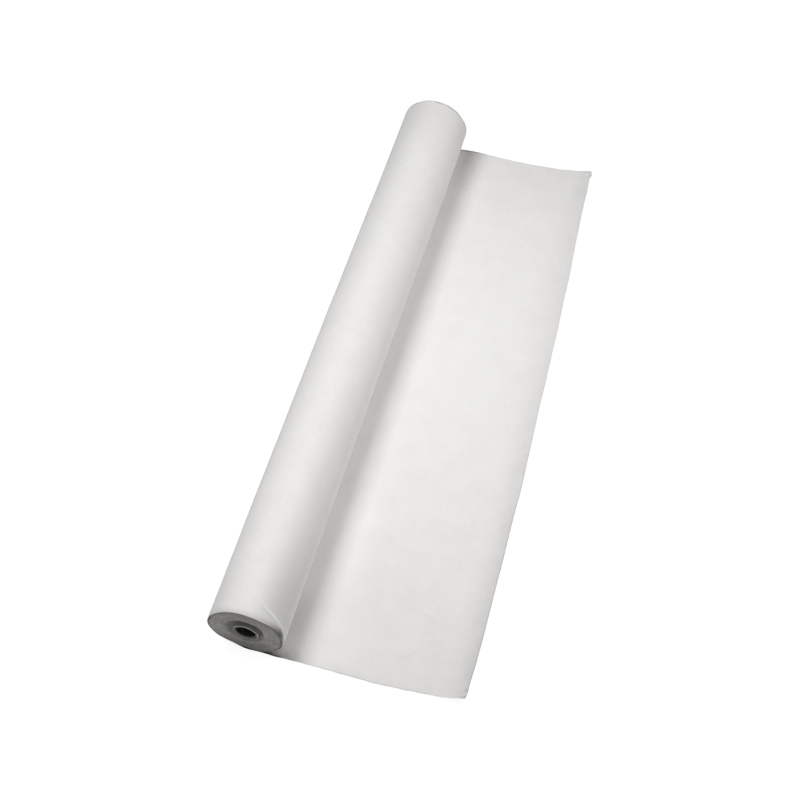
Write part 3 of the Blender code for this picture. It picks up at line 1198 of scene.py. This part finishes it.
@dataclass
class WoundPlies:
    """The winding: one ribbon of cloth in a spiral on the core, made with Geometry Nodes.

    The turns count from the core outwards, and the angles are from the bottom of the roll up its +X side.
    """

    sizes: RollSizes
    name: str = "wound_plies"
    turns: int = 23
    points_per_turn: int = 112
    section_points: int = 28
    section_fill: float = 2.9
    section_power: float = 2.6
    first_gap: float = 0.0004
    outer_gap: float = 0.0004
    ply_share: float = 0.80
    recess_depth: float = 0.0068
    first_ply_out: float = 0.0018
    groove_depth: float = 0.0038
    upper_angle: float = 150.0
    upper_facing: Span = (-0.35, 0.55)
    sunk_angle: float = 208.0
    sunk_facing: Span = (-0.9, 0.8)
    sunk_lag: Span = (0.9, -1.8)
    slack_depth: float = 0.0013
    slack_angle: float = 326.0
    slack_facing: Span = (0.35, 1.0)
    edge_wander: float = 0.0005
    group_swing: float = 4.0
    group_change: float = 0.55
    group_noise: Span = (1.0, 3.0)
    roundness_wander: float = 0.0005
    roundness_change: float = 0.12
    roundness_noise: Span = (1.1, 2.0)
    roundness_swing: float = 8.0
    rim_depth: Span = (0.0001, 0.0005)
    # How far in from the cut edge the painted shade of the inner plies begins.
    soil_depth: Span = (0.0003, 0.0011)
    # How far in from the cut edge the painted highlight on the first ply's rim reaches.
    rim_highlight_depth: Span = (0.0005, 0.0011)
    # Painted shade, and dirt too, at the bottom of the end face, by the ground.
    low_soil: float = 0.34
    low_soil_turns: Span = (5.0, 12.0)
    # Painted shade in the recess round the core, on the inner plies.
    sunk_soil: float = 0.57
    sunk_soil_turns: Span = (3.2, 8.6)
    # Painted shade on the rims: the first ply's on its lower side, the others more on their upper side.
    first_soil_turns: Span = (0.95, 1.2)
    first_soil_share: float = 0.85
    lower_soil_share: float = 0.45
    # The painted highlight is on the first ply's rim only.
    rim_highlight_turns: Span = (0.9, 1.1)
    inner_turns: Span = (2.4, 8.2)
    inner_start: Span = (0.9, 1.5)
    inner_swing: float = 1.6
    slack_turns: Span = (6.0, 16.0)
    first_turns: Span = (0.9, 1.15)
    groove_turns: Span = (20.8, 21.6)
    taper_turns: Span = (2.0, 20.0)
    seed: int = 7

    @property
    def first_radius(self) -> float:
        """The radius of the first ply's inner face."""
        return self.sizes.core_radius + self.first_gap

    @property
    def last_radius(self) -> float:
        """The radius of the last ply's outer face, just under the loose sheet."""
        return self.sizes.outer_radius - self.sizes.cloth_thickness - self.outer_gap

    @property
    def pitch(self) -> float:
        """The distance from one ply to the next."""
        return (self.last_radius - self.first_radius) / (self.turns + self.ply_share)

    @property
    def cloth_length(self) -> float:
        """The length of cloth in the spiral."""
        return math.pi * (self.first_radius + self.last_radius) * self.turns

    @staticmethod
    def side(degrees: float) -> Colour:
        """The direction at an angle round the roll, as the spiral lies before it is turned."""
        return (math.cos(math.radians(degrees)), math.sin(math.radians(degrees)), 0.0)

    def inputs(self, finish: Material) -> dict[str, object]:
        """What the Geometry Nodes tree is given.

        Args:
            finish: The winding's material.

        Returns:
            The values by input name.
        """
        sizes = self.sizes
        return {
            "First Radius": self.first_radius,
            "Pitch": self.pitch,
            "Turns": self.turns,
            "Points per Turn": self.points_per_turn,
            "Ply Thickness": self.pitch * self.ply_share,
            "Cloth Width": sizes.width,
            "Recess Depth": self.recess_depth,
            "First Ply Out": self.first_ply_out,
            "Groove Depth": self.groove_depth,
            "Slack Depth": self.slack_depth,
            "Slack Side": self.side(self.slack_angle),
            "Upper Side": self.side(self.upper_angle),
            "Ground Side": self.side(0.0),
            "Sunk Side": self.side(self.sunk_angle),
            "Taper": sizes.taper,
            "Taper From": (0.5 - sizes.taper_span[0]) * sizes.width,
            "Taper To": (0.5 - sizes.taper_span[1]) * sizes.width,
            "Edge Wander": self.edge_wander,
            "Roundness Wander": self.roundness_wander,
            "Seed": self.seed,
            "Middle of Roll": (sizes.axis_x, (sizes.near_y + sizes.far_y) / 2, sizes.axis_z),
            "Finish": finish,
        }

    def tree(self, values: dict[str, object]) -> NodeTree:
        """Builds the Geometry Nodes tree of a spiral winding.

        Args:
            values: By name, what its inputs will be given.

        Returns:
            The tree.
        """
        kinds = {float: "Float", int: "Int", tuple: "Vector", Material: "Material"}
        tree = bpy.data.node_groups.new("spiral_winding", "GeometryNodeTree")
        for label, value in values.items():
            tree.interface.new_socket(label, in_out="INPUT", socket_type="NodeSocket" + kinds[type(value)])
        tree.interface.new_socket("Winding", in_out="OUTPUT", socket_type="NodeSocketGeometry")
        WindingTree(self, TreeBuilder(tree)).fill()
        return tree

    def build(self, material: Material) -> Object:
        """Makes the winding as a plain mesh with its finish."""
        values = self.inputs(material)
        return grown(self.name, self.tree(values), values)

    def dress(self, winding: Object) -> None:
        """Gives the winding its place in the frame.

        Args:
            winding: The winding, which has its finish already.
        """
        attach(winding, Body.ROLL.value)
        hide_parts("wound_fabric")
        flat = (self.sizes.width, self.cloth_length)


class WindingTree:
    """The Geometry Nodes of the winding, which lies round Z until its last step."""

    def __init__(self, shape: WoundPlies, build: TreeBuilder) -> None:
        """Takes the inputs of the tree, and what most steps read.

        Args:
            shape: The winding's sizes and shares.
            build: The builder of the tree.
        """
        self.shape, self.build, self.given = shape, build, build.given()
        self.place = build.add("GeometryNodeInputPosition")
        flat = build.vectors("MULTIPLY", self.place, (1.0, 1.0, 0.0))
        self.outward = build.vectors("NORMALIZE", flat)

    def fill(self) -> None:
        """Adds every step, from the spiral line to the dressed winding in its place."""
        build, given = self.build, self.given
        slipped = self.slipped(self.ribbon(self.spiral_line()))
        lying = {"Translation": given["Middle of Roll"], "Rotation": (math.pi / 2, math.pi / 2, 0.0)}
        placed = build.add("GeometryNodeTransform", {"Geometry": slipped, **lying})
        smooth = build.add("GeometryNodeSetShadeSmooth", {"Geometry": placed})
        whole = build.add("GeometryNodeRealizeInstances", {"Geometry": smooth})
        dressed = build.add("GeometryNodeSetMaterial", {"Geometry": whole, "Material": given["Finish"]})
        build.node("NodeGroupOutput", {"Winding": dressed})

    def store(self, geometry: Wire, name: str, value: Wire, **settings: str) -> Wire:
        """Stores a value at each point, or as the settings say.

        Args:
            geometry: What takes the value.
            name: The attribute's name.
            value: The value.
            settings: Another data_type or domain.

        Returns:
            The geometry with the attribute.
        """
        settings = {"data_type": "FLOAT", "domain": "POINT", **settings}
        inputs = {"Geometry": geometry, "Name": name, "Value": value}
        return self.build.add("GeometryNodeStoreNamedAttribute", inputs, **settings)

    def around(self, turn: Wire) -> Wire:
        """A place for noise that closes up round the roll and changes slowly from turn to turn."""
        return self.build.vectors("ADD", self.outward, self.build.vector(z=turn + self.given["Seed"]))

    def spiral_line(self) -> Wire:
        """The middle line of the ply, a spiral that is a little out of round.

        Returns:
            The line, with the turn and the run of cloth stored at each point.
        """
        build, given, shape = self.build, self.given, self.shape
        start = given["First Radius"] + given["Ply Thickness"] * 0.5
        spiral = build.add("GeometryNodeCurveSpiral", {
            "Resolution": given["Points per Turn"],
            "Rotations": given["Turns"],
            "Start Radius": start,
            "End Radius": given["Pitch"] * given["Turns"] + start,
            "Height": 0.0,
        })
        turn = build.add("GeometryNodeInputIndex") / given["Points per Turn"]
        run = build.add("GeometryNodeSplineParameter", output="Length")
        measured = self.store(self.store(spiral, PLY_TURN, turn), PLY_RUN, run)
        noise = build.noise(self.around(turn * shape.roundness_change), *shape.roundness_noise)
        share = turn / given["Turns"]
        swing = (noise - 0.5) * (share * (1.0 - share) * shape.roundness_swing) * given["Roundness Wander"]
        offset = build.scaled(build.vectors("NORMALIZE", self.place), swing)
        return build.add("GeometryNodeSetPosition", {"Geometry": measured, "Offset": offset})

    def ribbon(self, line: Wire) -> Wire:
        """Sweeps the ply's section along the spiral.

        The section is a circle whose points are moved to a long thin rectangle with round ends, most of them
        near the two ends, so that the looks can change close to the cloth's edges.

        Args:
            line: The spiral.

        Returns:
            The ribbon.
        """
        build, given, shape = self.build, self.given, self.shape
        round_section = {"Resolution": shape.section_points, "Radius": 1.0}
        circle = build.add("GeometryNodeCurvePrimitiveCircle", round_section, mode="RADIUS")
        x, y = (build.axis(self.place, number) for number in (0, 1))
        flat = build.add("ShaderNodeClamp", {0: x * shape.section_fill, 1: -1.0, 2: 1.0})
        from_end = build.maths("POWER", (1.0 - abs(y)).over(0.0), shape.section_power)
        across = build.maths("SIGN", y) * (1.0 - from_end)
        spot = build.vector(flat * (given["Ply Thickness"] * 0.5), across * (given["Cloth Width"] * 0.5))
        section = build.add("GeometryNodeSetPosition", {"Geometry": circle, "Position": spot})
        upright = build.add("GeometryNodeSetCurveNormal", {"Curve": line}, mode="Z_UP")
        swept = {"Curve": upright, "Profile Curve": section, "Fill Caps": True}
        return build.add("GeometryNodeCurveToMesh", swept)

    def slipped(self, ribbon: Wire) -> Wire:
        """Slips the plies along the roll, and stores the map and the attributes of their looks.

        Args:
            ribbon: The swept ribbon.

        Returns:
            The winding, before it is laid down.
        """
        build, given, shape = self.build, self.given, self.shape
        along, outward = build.axis(self.place, 2), self.outward
        turn, run = (
            build.add("GeometryNodeInputNamedAttribute", {"Name": name}, data_type="FLOAT")
            for name in (PLY_TURN, PLY_RUN)
        )
        from_edge = given["Cloth Width"] * 0.5 - abs(along)
        rim = from_edge.ramp(*shape.rim_depth, 1.0, 0.0)
        to_upper, to_ground, to_sunk, to_slack = (
            build.vectors("DOT_PRODUCT", outward, given[f"{side} Side"], output="Value")
            for side in ("Upper", "Ground", "Sunk", "Slack")
        )
        upper = to_upper.ramp(*shape.upper_facing)
        lagging = turn + to_sunk.ramp(*shape.sunk_facing, *shape.sunk_lag)

        # Painted shade, and dirt too, at the bottom of the end face, by the ground.
        low = to_ground.ramp(*shape.slack_facing, 0.0, shape.low_soil)
        low = low * rim * turn.ramp(*shape.low_soil_turns)
        # Painted shade in the recess round the core: on the sunk inner plies and their rims.
        ends = turn.ramp(*shape.first_soil_turns).over((1.0 - upper) * shape.first_soil_share)
        ends = rim * ends * (upper * (1.0 - shape.lower_soil_share) + shape.lower_soil_share)
        sunk = from_edge.ramp(*shape.soil_depth).over(ends)
        sunk = sunk * lagging.ramp(*shape.sunk_soil_turns, shape.sunk_soil, 0.0)
        # A painted highlight on the first ply's rim, on its upper side.
        rim_highlight = upper * from_edge.ramp(*shape.rim_highlight_depth, 1.0, 0.0) * turn.ramp(*shape.rim_highlight_turns, 1.0, 0.0)
        marked = ribbon
        for name, value in ((RIM, rim), (PAINTED_SHADE_AND_SOIL, sunk.over(low)), (PAINTED_LIGHT, rim_highlight)):
            marked = self.store(marked, name, value)
        web = build.vector(run, along)
        mapped = self.store(marked, WEB_MAP, web, data_type="FLOAT2", domain="CORNER")

        inner = lagging.ramp(*shape.inner_turns, 1.0, 0.0) * turn.ramp(*shape.inner_start)
        groups = build.noise(self.around(turn * shape.group_change), *shape.group_noise)
        step = (groups - 0.5) * shape.group_swing * (inner * shape.inner_swing + 1.0) * given["Edge Wander"]
        slack = to_slack.ramp(*shape.slack_facing) * given["Slack Depth"] * turn.ramp(*shape.slack_turns)
        first = turn.ramp(*shape.first_turns, 1.0, 0.0) * given["First Ply Out"] * upper
        groove = turn.ramp(*shape.groove_turns) * given["Groove Depth"] * upper
        slip = inner * given["Recess Depth"] + step + slack - first + groove
        narrow = along.ramp(given["Taper From"], given["Taper To"]) * turn.ramp(*shape.taper_turns)
        shift = build.vectors("ADD", build.vector(z=slip), build.scaled(outward, narrow * given["Taper"]))
        back = build.vectors("MULTIPLY", shift, (-1.0, -1.0, -1.0))
        return build.add("GeometryNodeSetPosition", {"Geometry": mapped, "Offset": back})


def grown(name: str, tree: NodeTree, values: dict[str, object]) -> Object:
    """Runs a Geometry Nodes tree and keeps its result as a plain mesh.

    Args:
        name: The new object's name.
        tree: The tree.
        values: By input name, what the tree is given.

    Returns:
        The object, without the modifier.
    """
    seedling = link_object(name, bpy.data.meshes.new(name))
    modifier = seedling.modifiers.new("grow", "NODES")
    modifier.node_group = tree
    identifiers = {
        item.name: item.identifier
        for item in tree.interface.items_tree
        if item.item_type == "SOCKET" and item.in_out == "INPUT"
    }
    for label, value in values.items():
        modifier[identifiers[label]] = value
    bpy.context.view_layer.update()
    evaluated = seedling.evaluated_get(bpy.context.evaluated_depsgraph_get())
    mesh = bpy.data.meshes.new_from_object(evaluated)
    mesh.name = name
    seedling.modifiers.remove(modifier)
    seedling.data = mesh
    return seedling


class CoreTube:
    """The tube that the cloth is wound on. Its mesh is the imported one."""

    def dress(self) -> None:
        """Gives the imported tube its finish."""
        low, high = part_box("core_tube")
        finish = TubeFinish(
            name="core_plastic",
            wall_colour=(0.012, 0.012, 0.011),
            scuff_colour=(0.035, 0.034, 0.032),
            sawn_colour=(0.13, 0.128, 0.12),
            near_y=low.y,
            far_y=high.y,
        )
        wear(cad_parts["core_tube"], finish.material())


class StartTape:
    """The tape that holds the first edge of the cloth to the core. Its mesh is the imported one."""

    def dress(self) -> None:
        """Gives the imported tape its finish."""
        finish = TapeFinish("kraft_tape", colour=(0.48, 0.36, 0.21), crease_colour=(0.36, 0.26, 0.14))
        wear(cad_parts["start_tape"], finish.material())


def wear(node: Object, material: Material) -> None:
    """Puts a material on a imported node, whose mesh stays as it is.

    Args:
        node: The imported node.
        material: Its finish.
    """
    if not node.material_slots:
        node.data.materials.append(material)
    for held in node.material_slots:
        held.material = material


@dataclass(frozen=True)
class AreaLamp:
    """A square soft box."""

    name: str
    place: Colour
    aim: Colour
    power: float
    size: float = 0.8
    colour: Colour = WHITE

    def build(self) -> None:
        """Hangs the lamp and turns it to its aim."""
        light = bpy.data.lights.new(self.name, "AREA")
        light.shape = "RECTANGLE"
        light.size = light.size_y = self.size
        light.energy = self.power
        light.color = self.colour
        lamp = link_object(self.name, light)
        lamp.location = self.place
        lamp.rotation_euler = (Vector(self.aim) - Vector(self.place)).to_track_quat("-Z", "Y").to_euler()


@dataclass
class Studio:
    """The floor, the lamps, the world and the camera."""

    lens: float = 68.457
    sensor_width: float = 36.0
    camera_place: Colour = (0.382814, -1.325585, 1.92928)
    yaw: float = -0.317932
    pitch: float = 0.958112
    roll: float = -0.052648
    floor_size: float = 14.0
    floor_drop: float = 0.0002
    ambient: float = 0.135
    lamps: tuple[AreaLamp, ...] = (
        AreaLamp("left_box", (-0.68, -0.20, 1.785), (-0.03, -0.10, 0.0), 19.4),
        AreaLamp("right_box", (0.62, 0.05, 1.785), (-0.03, 0.0, 0.0), 12.2),
        AreaLamp("side_fill", (1.69, 0.45, 0.803), (-0.03, 0.15, 0.0), 5.2),
    )

    def build(self) -> None:
        """Sets up all of it."""
        self.build_floor()
        self.build_world()
        for lamp in self.lamps:
            lamp.build()
        self.build_camera()
        bpy.context.scene.view_settings.view_transform = "Standard"

    def build_floor(self) -> None:
        """Lays the floor just under the cloth."""
        half, drop = self.floor_size / 2, -self.floor_drop
        corners = [(-half, -half, drop), (half, -half, drop), (half, half, drop), (-half, half, drop)]
        mesh = bpy.data.meshes.new("floor")
        mesh.from_pydata(corners, [], [(0, 1, 2, 3)])
        mesh.materials.append(FloorFinish().material())
        link_object("floor", mesh)

    def build_world(self) -> None:
        """Lights the scene evenly from all round, and shows white behind it."""
        world = bpy.data.worlds.new("studio")
        bpy.context.scene.world = world
        world.use_nodes = True
        build = TreeBuilder(world.node_tree)
        strength = build.seen() * (1.0 - self.ambient) + self.ambient
        build.join(world.node_tree.nodes["Background"], {"Color": (*WHITE, 1.0), "Strength": strength})

    def build_camera(self) -> None:
        """Puts the camera at the photograph's viewpoint."""
        flat = math.cos(self.pitch)
        forward = Vector((math.sin(self.yaw) * flat, math.cos(self.yaw) * flat, -math.sin(self.pitch)))
        level = forward.cross(Vector((0.0, 0.0, 1.0))).normalized()
        above = level.cross(forward)
        right = level * math.cos(self.roll) + above * math.sin(self.roll)
        up = above * math.cos(self.roll) - level * math.sin(self.roll)
        data = bpy.data.cameras.new("camera")
        data.lens = self.lens
        data.sensor_width = self.sensor_width
        camera = link_object("camera", data)
        turned = Matrix((right, up, -forward)).transposed().to_4x4()
        camera.matrix_world = Matrix.Translation(self.camera_place) @ turned
        bpy.context.scene.camera = camera


def main() -> None:
    """Builds every piece and the studio, and reports each piece."""
    logging.basicConfig(level=logging.INFO, format="%(message)s")
    sizes = RollSizes.from_frame()
    groups = SurfaceGroups()
    sheet_finish = WebFinish(
        "white_nonwoven",
        thick_colour=(0.868, 0.860, 0.847),
        thin_colour=(0.818, 0.808, 0.790),
        # The cut edges are painted a little paler than the cloth: painted light on edges that lie in shade.
        edge_colour=(0.93, 0.92, 0.90),
        dusty_edge_colour=(0.84, 0.83, 0.81),
    )
    ply_finish = WebFinish(
        "wound_nonwoven",
        thick_colour=(0.84, 0.83, 0.81),
        thin_colour=(0.76, 0.75, 0.72),
        edge_colour=(0.90, 0.885, 0.845),
        dusty_edge_colour=(0.60, 0.58, 0.53),
        dusty_run=0.7,
    )

    loose = LooseSheet(sizes)
    sheet = loose.build()
    winding = WoundPlies(sizes)
    plies = winding.build(ply_finish.material(groups))
    loose.dress(sheet, sheet_finish.material(groups))
    winding.dress(plies)
    CoreTube().dress()
    StartTape().dress()
    for piece in (sheet, plies):
        LOG.info("%s: %d faces", piece.name, len(piece.data.polygons))
    Studio().build()


if __name__ == "__main__":
    main()
